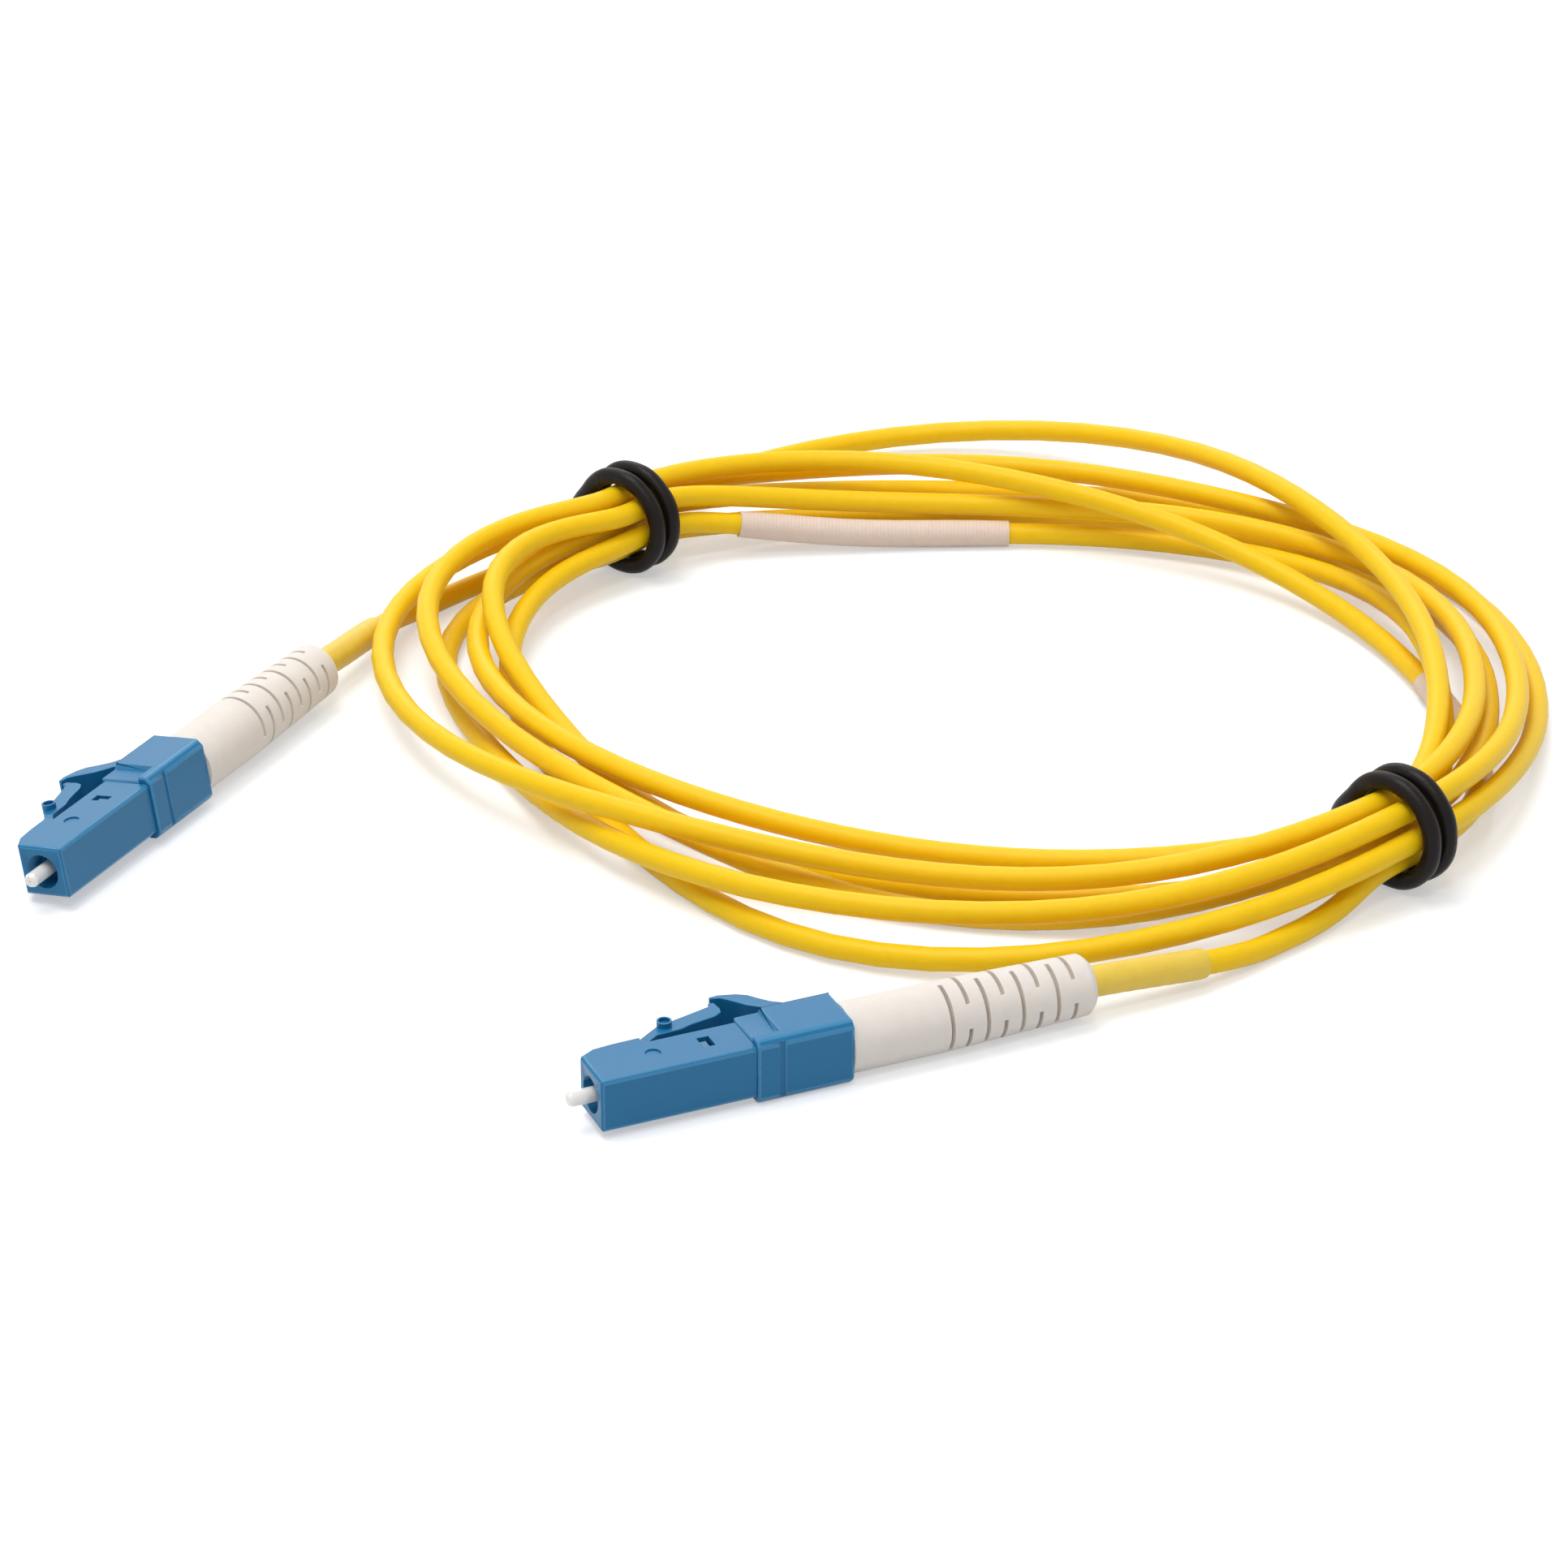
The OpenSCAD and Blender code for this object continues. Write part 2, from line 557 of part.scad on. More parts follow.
module crimp_core() {
    color(steel) difference() {
        union() {
            rod(pocket_back - pocket_len, front_len + neck_len, crimp_body_d);
            rod(front_len + neck_len - cut, barrel_x, barrel_d + 0.5);
            rod(barrel_x - cut, barrel_back, barrel_d);
            translate([window_x + fit, -front_r + 0.1, window_z - window_w / 2 + fit])
                cube([tooth_len, front_w - 0.2, tooth_w]);
        }
        rod(pocket_back - pocket_len - 1, pocket_back, spring_d + 2 * slide);
        rod(0, barrel_back + 1, buffer_d + 0.2);
    }
}

module crimp_tube() {
    color(steel) difference() {
        rod(crimp_ring_x, crimp_ring_back, crimp_ring_d);
        rod(crimp_ring_x - 1, jacket_x - 0.2, barrel_d + 2 * fit);
        rod(jacket_x - 1, crimp_ring_back + 1, cable_d + 2 * fit);
    }
}

module buffer_rod() {
    color(yellow) rod(ferrule_back + fit, barrel_back - 1.2, buffer_d);
}

// A slot round the boot, broken by two ribs
module boot_slot(x, turn) {
    difference() {
        rod(x, x + slot_w, boot_d + 1);
        rod(x - 1, x + slot_w + 1, slot_floor_d);
        rotate([turn, 0, 0]) translate([x - 1, -boot_d, -rib_w / 2])
            cube([slot_w + 2, 2 * boot_d, rib_w]);
    }
}

module boot_body(turn) {
    plain_x = housing_len + boot_plain;
    end_r = 0.6;
    color(boot_white) difference() {
        union() {
            rod(housing_len - boot_neck_len, housing_len + cut, boot_neck_d);
            rod(housing_len, plain_x, boot_d);
            translate([plain_x - cut, 0, 0]) rotate([0, 90, 0])
                cylinder(d1 = boot_d, d2 = boot_end_d, h = boot_len - boot_plain + cut - end_r);
            translate([plug_len - end_r - cut, 0, 0]) rotate([0, 90, 0])
                cylinder(d1 = boot_end_d, d2 = boot_end_d - end_r, h = 0.6 * end_r + cut);
            translate([plug_len - 0.4 * end_r - cut, 0, 0]) rotate([0, 90, 0])
                cylinder(d1 = boot_end_d - end_r, d2 = boot_end_d - 2 * end_r,
                    h = 0.4 * end_r + cut);
        }
        rod(0, crimp_ring_back + fit, crimp_ring_d + 2 * fit);
        rod(0, plug_len + 1, cable_d + 2 * fit);
        for (i = [0 : slot_pairs - 1]) {
            boot_slot(plain_x + slot_pitch * i, -turn);
            boot_slot(plain_x + slot_pitch * (i + 0.5), 90 - turn);
        }
    }
}

module jacket_end() {
    color(yellow) rod(jacket_x, plug_len, cable_d);
}

// ------------------------------------------------------------------
module place_a() {
    translate(start_a) rotate([0, 0, turn_a]) rotate([-90 - roll_a, 0, 0])
        translate([-plug_len, 0, 0]) children();
}

module place_b() {
    translate(start_b) rotate([0, 0, turn_b]) rotate([-90 - roll_b, 0, 0])
        translate([-plug_len, 0, 0]) children();
}

module front_housing_a() { place_a() front_body(); }
module front_housing_b() { place_b() front_body(); }
module latch_a() { place_a() latch_arm(); }
module latch_b() { place_b() latch_arm(); }
module trigger_a() { place_a() trigger_lever(); }
module trigger_b() { place_b() trigger_lever(); }
module rear_housing_a() { place_a() rear_body(); }
module rear_housing_b() { place_b() rear_body(); }
module ferrule_a() { place_a() ferrule_rod(); }
module ferrule_b() { place_b() ferrule_rod(); }
module flange_a() { place_a() flange_body(); }
module flange_b() { place_b() flange_body(); }
module spring_a() { place_a() ferrule_spring(); }
module spring_b() { place_b() ferrule_spring(); }
module crimp_body_a() { place_a() crimp_core(); }
module crimp_body_b() { place_b() crimp_core(); }
module crimp_ring_a() { place_a() crimp_tube(); }
module crimp_ring_b() { place_b() crimp_tube(); }
module buffer_a() { place_a() buffer_rod(); }
module buffer_b() { place_b() buffer_rod(); }
module boot_a() { place_a() boot_body(slots_turn_a); }
module boot_b() { place_b() boot_body(slots_turn_b); }
module jacket_a() { place_a() jacket_end(); }
module jacket_b() { place_b() jacket_end(); }

module lead_a() { color(yellow) swept(lead_a_path, cable_d / 2, 8); }
module lead_b() { color(yellow) swept(lead_b_path, cable_d / 2, 8); }
module sleeve_a() {
    color(pale_yellow) swept(up_to(lead_a_path, sleeve_len), sleeve_d / 2, 8,
        bore = cable_d / 2 + fit);
}
module sleeve_b() {
    color(pale_yellow) swept(up_to(lead_b_path, sleeve_len), sleeve_d / 2, 8,
        bore = cable_d / 2 + fit);
}
module coil() {
    echo(least_gap = least_gap, cable_len = cable_len, rings = len(coil_path));
    color(yellow) swept(coil_path, cable_d / 2, 6);
}
module label_a() { color(label_white) on_strand(2, 128, 75, label_wall); }
module label_b() { color(label_white) on_strand(6, 0, -30, label_wall); }
module tie_left() { tie(left_az, left_r, tie_left_start); }
module tie_right() { tie(right_az, right_r, tie_right_start); }

coil();
lead_a();
lead_b();
tie_left();
tie_right();
label_a();
label_b();
front_housing_a();
latch_a();
trigger_a();
rear_housing_a();
ferrule_a();
flange_a();
spring_a();
crimp_body_a();
crimp_ring_a();
buffer_a();
boot_a();
jacket_a();
sleeve_a();
front_housing_b();
latch_b();
trigger_b();
rear_housing_b();
ferrule_b();
flange_b();
spring_b();
crimp_body_b();
crimp_ring_b();
buffer_b();
boot_b();
jacket_b();
sleeve_b();
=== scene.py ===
import math

import bmesh
import bpy
from mathutils import Matrix, Vector


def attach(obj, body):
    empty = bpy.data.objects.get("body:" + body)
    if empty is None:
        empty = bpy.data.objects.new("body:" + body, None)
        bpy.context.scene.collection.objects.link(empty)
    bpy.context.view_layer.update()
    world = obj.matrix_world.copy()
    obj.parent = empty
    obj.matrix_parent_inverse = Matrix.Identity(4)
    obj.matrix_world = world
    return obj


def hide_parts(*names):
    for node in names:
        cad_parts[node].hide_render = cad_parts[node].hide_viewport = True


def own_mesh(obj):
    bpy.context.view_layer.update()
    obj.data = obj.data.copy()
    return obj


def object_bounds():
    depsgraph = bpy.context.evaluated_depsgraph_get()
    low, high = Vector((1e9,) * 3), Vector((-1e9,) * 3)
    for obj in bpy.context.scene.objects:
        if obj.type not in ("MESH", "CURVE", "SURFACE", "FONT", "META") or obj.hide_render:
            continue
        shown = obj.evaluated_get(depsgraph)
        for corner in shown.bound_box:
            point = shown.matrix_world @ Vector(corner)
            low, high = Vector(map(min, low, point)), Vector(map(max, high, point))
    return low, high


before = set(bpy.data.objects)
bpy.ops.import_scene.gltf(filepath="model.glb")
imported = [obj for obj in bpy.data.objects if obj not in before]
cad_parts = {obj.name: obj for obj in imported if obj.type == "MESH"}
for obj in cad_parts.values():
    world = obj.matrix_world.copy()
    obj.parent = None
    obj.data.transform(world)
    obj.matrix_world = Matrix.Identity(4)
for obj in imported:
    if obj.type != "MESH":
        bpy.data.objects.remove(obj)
cad_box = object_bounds()

# The camera stands in front of the coil and a little to its left, level from
# side to side, and looks down on the floor at a shallow angle.
looks_down = 27.8


def placed(name, data):
    """A new object in the scene, at the origin"""
    piece = bpy.data.objects.new(name, data)
    bpy.context.scene.collection.objects.link(piece)
    return piece


camera = placed("camera", bpy.data.cameras.new("camera"))
camera.data.lens = 119.25
camera.data.sensor_width = 36
camera.data.clip_start = 0.01
camera.location = (-0.00218, -0.40231, 0.208885)
camera.rotation_euler = (math.radians(90 - looks_down), 0, 0)
bpy.context.scene.camera = camera

# The cable: one two-millimetre simplex cord with a yellow jacket. It leaves
# one boot, is wound seven times by hand, so that the turns cross and bulge
# between the two rings, and goes back into the other boot.
mm = 0.001
cable_d = 2.0 * mm
coil_x, coil_y, coil_r = 13.82 * mm, 12.69 * mm, 44 * mm
lane, pack_z = 2.5 * mm, 5.2 * mm
left_az, left_r, left_turn, left_half = 141, coil_r - 4.8 * mm, 20, 6
right_az, right_r, right_turn, right_half = -46, coil_r + 6.3 * mm, 0, 5
# Each row is one turn, as steps outward from the coil's radius and up from the
# floor, in millimetres, at the azimuths before it.
back_az = (112, 80, 48, 18, -8, -26)
back_rows = (
    ((5.2, 0.2), (9.6, 1), (-4, 6.8), (-5, 5.6), (-3.2, 6), (0.2, 4.9)),
    ((-6.8, 1.8), (-5.8, 0), (0.8, 0), (6.6, 0), (6.8, 0), (7.2, 2.4)),
    ((-14.6, 0.3), (-15.2, 0.3), (-9, 0.1), (-3, 2), (-2.8, 3.3), (0.8, 2.3)),
    ((-11.4, 2.5), (-14.4, 2.6), (-8.6, 2.9), (0.3, 2.6), (0.6, 3.9), (3, 5.8)),
    ((-4, 2.9), (-4, 2.5), (-5.4, 3.4), (3.8, 2.7), (4.6, 3), (6.4, 5)),
    ((-9.6, 0), (-10.4, 0), (-4, 0), (2, 0), (2, 1.4), (4, 3.4)),
    ((-6, 5.2), (-14.6, 5.7), (-13.4, 4), (-6.8, 0), (-2.4, 0.3), (5.2, 0.3)))
front_az = (-76, -104, -132, -160, -188, -204)
front_rows = (
    ((-6.4, 1.2), (-9.8, 1.2), (-7.2, 3), (-2.6, 3.8), (0.4, 2.6), (-1.6, 3.6)),
    ((8.4, 1.3), (8.8, 0), (-3, 0), (-4.4, 0), (-3, 2.2), (-4.4, 2.8)),
    ((-1.7, 0), (-5.8, 0), (-6, 0), (-7.1, 1.8), (-0.2, 6.4), (-2, 6.2)),
    ((0, 2.7), (-2.4, 3.2), (0.8, 5.2), (6, 3), (9.2, 2.4), (3.6, 4.1)),
    ((5, 2.7), (5.6, 3.7), (1.6, 1.9), (-1.4, 0), (4.2, 0), (0, 1)),
    ((2, 0), (-1.6, 0), (-4.3, 2.4), (-0.4, 3.2), (6, 5.2), (1.4, 6.4)))
left_slots, right_slots = (6, 0, 4, 3, 1, 5, 2), (4, 1, 5, 3, 2, 0, 6)
coil_in = ((163, 6.4, 0.1), (154, 2.8, 0.2))
coil_out = ((-55, 8, 0.2), (-61, 9.4, 0.1))


def station(az, turn, out, up):
    """A point that a turn passes, in azimuth, radius and height"""
    return Vector((az - 360 * turn, coil_r + out * mm, cable_d / 2 + up * mm))


def held(az, turn, r, slot, twist, half):
    """A turn inside a ring: slot 0 is the middle of the bundle, and 1 to 6 lie round it"""
    a = math.radians(60 * (slot - 1) + twist)
    step = lane if slot else 0
    return [Vector((az + d - 360 * turn, r + step * math.cos(a), pack_z + step * math.sin(a)))
            for d in (half, 0, -half)]


stations = [station(az, 0, out, up) for az, out, up in coil_in]
for turn, row in enumerate(back_rows):
    stations += held(left_az, turn, left_r, left_slots[turn], left_turn, left_half)
    stations += [station(az, turn, *step) for az, step in zip(back_az, row)]
    stations += held(right_az, turn, right_r, right_slots[turn], right_turn, right_half)
    if turn < len(front_rows):
        stations += [station(az, turn, *step) for az, step in zip(front_az, front_rows[turn])]
stations += [station(az, len(back_rows) - 1, out, up) for az, out, up in coil_out]
stations = [2 * stations[0] - stations[1]] + stations + [2 * stations[-1] - stations[-2]]


def in_plan(q):
    """A point given by azimuth, radius and height, in the frame's own axes"""
    a = math.radians(q.x)
    return Vector((coil_x + q.y * math.cos(a), coil_y + q.y * math.sin(a), q.z))


def rounded(points, steps):
    """A smooth curve drawn towards its points"""
    drawn = []
    for i in range(1, len(points) - 2):
        for t in (s / steps for s in range(steps)):
            drawn.append(((1 - t) ** 3 * points[i - 1] + (3 * t ** 3 - 6 * t ** 2 + 4) * points[i]
                          + (3 * t + 3 * t ** 2 - 3 * t ** 3 + 1) * points[i + 1]
                          + t ** 3 * points[i + 2]) / 6)
    drawn.append((points[-3] + 4 * points[-2] + points[-1]) / 6)
    return drawn


def through(points, steps):
    """A smooth curve that passes through its points"""
    line = [2 * points[0] - points[1]] + points + [2 * points[-1] - points[-2]]
    drawn = []
    for i in range(1, len(line) - 2):
        p, q, r, s = line[i - 1:i + 3]
        for t in (k / steps for k in range(steps)):
            drawn.append((2 * q + (r - p) * t + (2 * p - 5 * q + 4 * r - s) * t ** 2
                          + (3 * q - p - 3 * r + s) * t ** 3) / 2)
    drawn.append(points[-1])
    return drawn


coil_polar = rounded(stations, 6)
coil_line = [in_plan(q) for q in coil_polar]
exit_a, exit_z_a, heading_a = (182.8, 13.4), 3.189 * mm, 62.4
exit_b, exit_z_b, heading_b = (-82.1, 14.6), 2.85 * mm, 23.7
free_steps_a = (
    (179.4, 11.6, 3), (176, 10.3, 2.7), (172.4, 9.3, 2.2), (169, 8.5, 1.7), (166.2, 7.7, 1.3))
free_steps_b = (
    (-78.2, 13.5, 2.6), (-75, 12.8, 2.3), (-71.7, 12.1, 1.9), (-68.4, 11.3, 1.5), (-65.5, 10.4, 1.1))


def free_line(exit_at, exit_z, heading, steps, joins_at):
    """A free stretch of cable: straight out of its boot, then by its steps, in azimuth,
    millimetres outward and height, to where it joins the coil"""
    start = in_plan(Vector((exit_at[0], coil_r + exit_at[1] * mm, exit_z)))
    away = Vector((math.cos(math.radians(heading)), math.sin(math.radians(heading)), 0)) * mm
    way = [in_plan(Vector((az, coil_r + out * mm, z * mm))) for az, out, z in steps]
    return through([start, start + away] + way + [joins_at], 5)


lead_a_line = free_line(exit_a, exit_z_a, heading_a, free_steps_a, coil_line[0])
lead_b_line = free_line(exit_b, exit_z_b, heading_b, free_steps_b, coil_line[-1])
cable_line = lead_a_line[:-1] + coil_line + lead_b_line[-2::-1]


def tube_along(name, line, radius, closed=False, sides=5, widths=()):
    """A round tube along a line, as a curve. widths are shares of the radius, point by point."""
    curve = bpy.data.curves.new(name, "CURVE")
    curve.dimensions = "3D"
    curve.bevel_depth = radius
    curve.bevel_resolution = sides
    curve.use_fill_caps = not closed
    spline = curve.splines.new("POLY")
    spline.points.add(len(line) - 1)
    for point, at in zip(spline.points, line):
        point.co = (*at, 1)
    for point, share in zip(spline.points, widths):
        point.radius = share
    spline.use_cyclic_u = closed
    spline.use_smooth = True
    return placed(name, curve)


def finish_named(name, colour, roughness):
    """A material with its node tree, its shader and the object's own coordinates"""
    material = bpy.data.materials.new(name)
    material.use_nodes = True
    tree = material.node_tree
    shader = tree.nodes["Principled BSDF"]
    shader.inputs["Base Color"].default_value = (*colour, 1)
    shader.inputs["Roughness"].default_value = roughness
    place = tree.nodes.new("ShaderNodeTexCoord")
    return material, tree, shader, place.outputs["Object"]


def wire(tree, *pairs):
    """Link each pair of sockets, the giving one first"""
    for give, take in pairs:
        tree.links.new(give, take)


def mottle():
    """A group that varies a colour and a roughness a little and gives a fine grain as a normal"""
    group = bpy.data.node_groups.new("mottled_plastic", "ShaderNodeTree")
    for name, kind in (("Place", "NodeSocketVector"), ("Colour", "NodeSocketColor"),
                       ("Deep Colour", "NodeSocketColor"), ("Patch Scale", "NodeSocketFloat"),
                       ("Grain Scale", "NodeSocketFloat"), ("Roughness", "NodeSocketFloat"),
                       ("Roughness Spread", "NodeSocketFloat"), ("Grain Depth", "NodeSocketFloat")):
        group.interface.new_socket(name, in_out="INPUT", socket_type=kind)
    for name, kind in (("Colour", "NodeSocketColor"), ("Roughness", "NodeSocketFloat"),
                       ("Normal", "NodeSocketVector")):
        group.interface.new_socket(name, in_out="OUTPUT", socket_type=kind)
    node, link = group.nodes.new, group.links.new
    given, gives = node("NodeGroupInput"), node("NodeGroupOutput")
    patches, grain = node("ShaderNodeTexNoise"), node("ShaderNodeTexNoise")
    for noise, scale in ((patches, "Patch Scale"), (grain, "Grain Scale")):
        link(given.outputs["Place"], noise.inputs["Vector"])
        link(given.outputs[scale], noise.inputs["Scale"])
        noise.inputs["Detail"].default_value = 3
    blend = node("ShaderNodeMix")
    blend.data_type = "RGBA"
    link(patches.outputs["Fac"], blend.inputs["Factor"])
    link(given.outputs["Deep Colour"], blend.inputs["A"])
    link(given.outputs["Colour"], blend.inputs["B"])
    spread = node("ShaderNodeMath")
    spread.operation = "MULTIPLY_ADD"
    link(patches.outputs["Fac"], spread.inputs[0])
    link(given.outputs["Roughness Spread"], spread.inputs[1])
    link(given.outputs["Roughness"], spread.inputs[2])
    bump = node("ShaderNodeBump")
    bump.inputs["Distance"].default_value = 0.05 * mm
    link(given.outputs["Grain Depth"], bump.inputs["Strength"])
    link(grain.outputs["Fac"], bump.inputs["Height"])
    link(blend.outputs["Result"], gives.inputs["Colour"])
    link(spread.outputs[0], gives.inputs["Roughness"])
    link(bump.outputs["Normal"], gives.inputs["Normal"])
    return group


mottled_plastic = mottle()


def mottled(name, colour, deep, roughness, spread, patch, grain, depth):
    """A material whose colour and gloss wander a little over the piece, with a fine grain"""
    material, tree, shader, place = finish_named(name, colour, roughness)
    group = tree.nodes.new("ShaderNodeGroup")
    group.node_tree = mottled_plastic
    for socket, value in (("Colour", (*colour, 1)), ("Deep Colour", (*deep, 1)), ("Patch Scale", patch),
                          ("Grain Scale", grain), ("Roughness", roughness), ("Roughness Spread", spread),
                          ("Grain Depth", depth)):
        group.inputs[socket].default_value = value
    wire(tree, (place, group.inputs["Place"]), (group.outputs["Colour"], shader.inputs["Base Color"]),
         (group.outputs["Roughness"], shader.inputs["Roughness"]),
         (group.outputs["Normal"], shader.inputs["Normal"]))
    return material, shader


def let_light_in(shader, weight, red, green, blue):
    """Soften a shader by the light that goes a little way into the piece"""
    shader.inputs["Subsurface Weight"].default_value = weight
    shader.inputs["Subsurface Radius"].default_value = (red, green, blue)
    shader.inputs["Subsurface Scale"].default_value = 1.0


yellow_jacket, jacket_shader = mottled(
    "yellow_jacket", colour=(0.95, 0.62, 0.006), deep=(0.9, 0.56, 0.003),
    roughness=0.36, spread=0.14, patch=1100, grain=3600, depth=0.3)
jacket_shader.inputs["Specular IOR Level"].default_value = 0.22
let_light_in(jacket_shader, 0.35, 1.2 * mm, 0.8 * mm, 0.15 * mm)

cable = tube_along("cable", cable_line, cable_d / 2)
cable.data.materials.append(yellow_jacket)
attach(cable, "cord")
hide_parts("coil", "lead_a", "lead_b")


def dress(node, material):
    """Give a node that stays as it is its finished material"""
    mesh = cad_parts[node].data
    mesh.materials.clear()
    mesh.materials.append(material)


for end in "ab":
    dress("jacket_" + end, yellow_jacket)

# The labels: two short lengths of pale printable film, closed round the
# cable as sleeves. They are soft, a little loose and cut square at the ends.
label_film, film_shader = mottled(
    "label_film", colour=(0.82, 0.67, 0.575), deep=(0.74, 0.58, 0.48),
    roughness=0.55, spread=0.1, patch=900, grain=4200, depth=0.35)
film_tree = label_film.node_tree
film_ribs = film_tree.nodes.new("ShaderNodeTexWave")
film_ribs.inputs["Scale"].default_value = 900
film_ribs.inputs["Distortion"].default_value = 1.5
film_ribs.inputs["Detail"].default_value = 2
rib_bump = film_tree.nodes.new("ShaderNodeBump")
rib_bump.inputs["Distance"].default_value = 0.04 * mm
rib_bump.inputs["Strength"].default_value = 0.5
wire(film_tree, (film_tree.nodes["Texture Coordinate"].outputs["Object"], film_ribs.inputs["Vector"]),
     (film_ribs.outputs["Fac"], rib_bump.inputs["Height"]),
     (film_shader.inputs["Normal"].links[0].from_socket, rib_bump.inputs["Normal"]),
     (rib_bump.outputs["Normal"], film_shader.inputs["Normal"]))
let_light_in(film_shader, 0.1, 0.6 * mm, 0.5 * mm, 0.4 * mm)
label_r = cable_d / 2 + 0.28 * mm
label_end = [0.95, 0.985]


def on_strand(turn, first_az, last_az):
    """The cable's own line on one turn, between two azimuths"""
    return [in_plan(q) for q in coil_polar if last_az <= q.x + 360 * turn <= first_az]


for name, turn, first_az, last_az in (("label_a", 2, 127, 76), ("label_b", 6, 0, -29)):
    line = on_strand(turn, first_az, last_az)
    widths = label_end + [1.0] * (len(line) - 2 * len(label_end)) + label_end[::-1]
    label = tube_along(name + "_film", line, label_r, sides=6, widths=widths)
    label.data.materials.append(label_film)
    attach(label, "cord")
    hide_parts(name)

# The ties: two black rubber rings, each pulled over the bundle and doubled,
# so that two windings lie side by side and cross over once.
rubber, rubber_shader = mottled(
    "black_rubber", colour=(0.014, 0.009, 0.008), deep=(0.005, 0.004, 0.004),
    roughness=0.26, spread=0.22, patch=420, grain=2400, depth=0.7)
rubber_shader.inputs["Specular IOR Level"].default_value = 0.16
tie_band, tie_r, tie_step = 1.6 * mm, 4.4 * mm, 1.03 * mm
cross_half = 55
ring_steps, thinning, thinning_pace = 240, 0.05, 0.21


def tie_point(az, r, twist, t):
    """A point of a doubled ring, for t from 0 to 720 degrees along it"""
    from_cross = max(-1, min(1, (t % 360 - 180) / cross_half))
    p = math.radians((90 if t < 360 else 270) + 90 * math.sin(math.radians(90 * from_cross)))
    out = tie_r + 2 * tie_step * max(0, math.sin(p))
    a, z_az = math.radians(t + 180 + twist), math.radians(az)
    along, e = tie_step * math.cos(p), r + out * math.cos(a)
    return Vector((coil_x + e * math.cos(z_az) + along * math.sin(z_az),
                   coil_y + e * math.sin(z_az) - along * math.cos(z_az), pack_z + out * math.sin(a)))


for name, az, r, twist in (("tie_left", left_az, left_r, -25), ("tie_right", right_az, right_r, 205)):
    line = [tie_point(az, r, twist, 720 * i / ring_steps) for i in range(ring_steps)]
    widths = [1 - thinning * math.sin(i * thinning_pace) ** 2 for i in range(ring_steps)]
    ring = tube_along(name + "_rubber", line, tie_band / 2, closed=True, sides=6, widths=widths)
    ring.data.materials.append(rubber)
    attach(ring, "cord")
    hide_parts(name)

# The shrink sleeves: a short tube of thin yellow plastic, shrunk by heat on
# the cable behind each boot. It is paler than the jacket and clings to it.
sleeve_yellow, sleeve_shader = mottled(
    "sleeve_yellow", colour=(0.86, 0.63, 0.09), deep=(0.78, 0.53, 0.04),
    roughness=0.34, spread=0.12, patch=800, grain=3200, depth=0.3)
let_light_in(sleeve_shader, 0.25, 1.2 * mm, 0.8 * mm, 0.2 * mm)
sleeve_len, sleeve_r, sleeve_steps = 10.7 * mm, 1.3 * mm, 30
sleeve_waves, wave_pace, sleeve_end = 0.018, 0.9, [0.985, 0.97, 0.93]


def first_part(line, length, step):
    """Points at even steps along the start of a line"""
    at, left, drawn = 0, 0.0, [line[0]]
    for k in range(1, int(length / step) + 1):
        run = k * step
        while left + (line[at + 1] - line[at]).length < run:
            left += (line[at + 1] - line[at]).length
            at += 1
        drawn.append(line[at].lerp(line[at + 1], (run - left) / (line[at + 1] - line[at]).length))
    return drawn


for end, line in (("a", lead_a_line), ("b", lead_b_line)):
    line = first_part(line, sleeve_len, sleeve_len / sleeve_steps)
    widths = [1 - sleeve_waves * math.sin(wave_pace * i) ** 2 for i in range(sleeve_steps - 2)]
    widths += sleeve_end
    sleeve = tube_along("sleeve_" + end + "_shrunk", line, sleeve_r, sides=6, widths=widths)
    sleeve.data.materials.append(sleeve_yellow)
    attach(sleeve, "cord")
    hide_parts("sleeve_" + end)

# The front housings: a square moulding of satin blue plastic with the mouth
# round the ferrule, a window on each side for the crimp body's tooth and a
# raised block that the latch grows from. Its rounded edges are painted a
# lighter blue as a painted highlight.
housing_blue, housing_shader = mottled(
    "housing_blue", colour=(0.012, 0.168, 0.36), deep=(0.009, 0.152, 0.335),
    roughness=0.28, spread=0.1, patch=120, grain=5200, depth=0.1)
housing_shader.inputs["Specular IOR Level"].default_value = 0.3
# The rounded edges' material: a lighter, glossier blue, a painted highlight along the edges.
painted_highlight_blue, painted_highlight_shader = mottled(
    "edge_painted_highlight", colour=(0.045, 0.245, 0.46), deep=(0.03, 0.21, 0.42),
    roughness=0.24, spread=0.08, patch=400, grain=5200, depth=0.05)
painted_highlight_shader.inputs["Specular IOR Level"].default_value = 0.4
same_point, flat_within = 0.002 * mm, math.radians(0.8)
turns_a_corner, stays_sharp = math.radians(28), math.radians(32)
broad_face = 2.6 * mm * mm


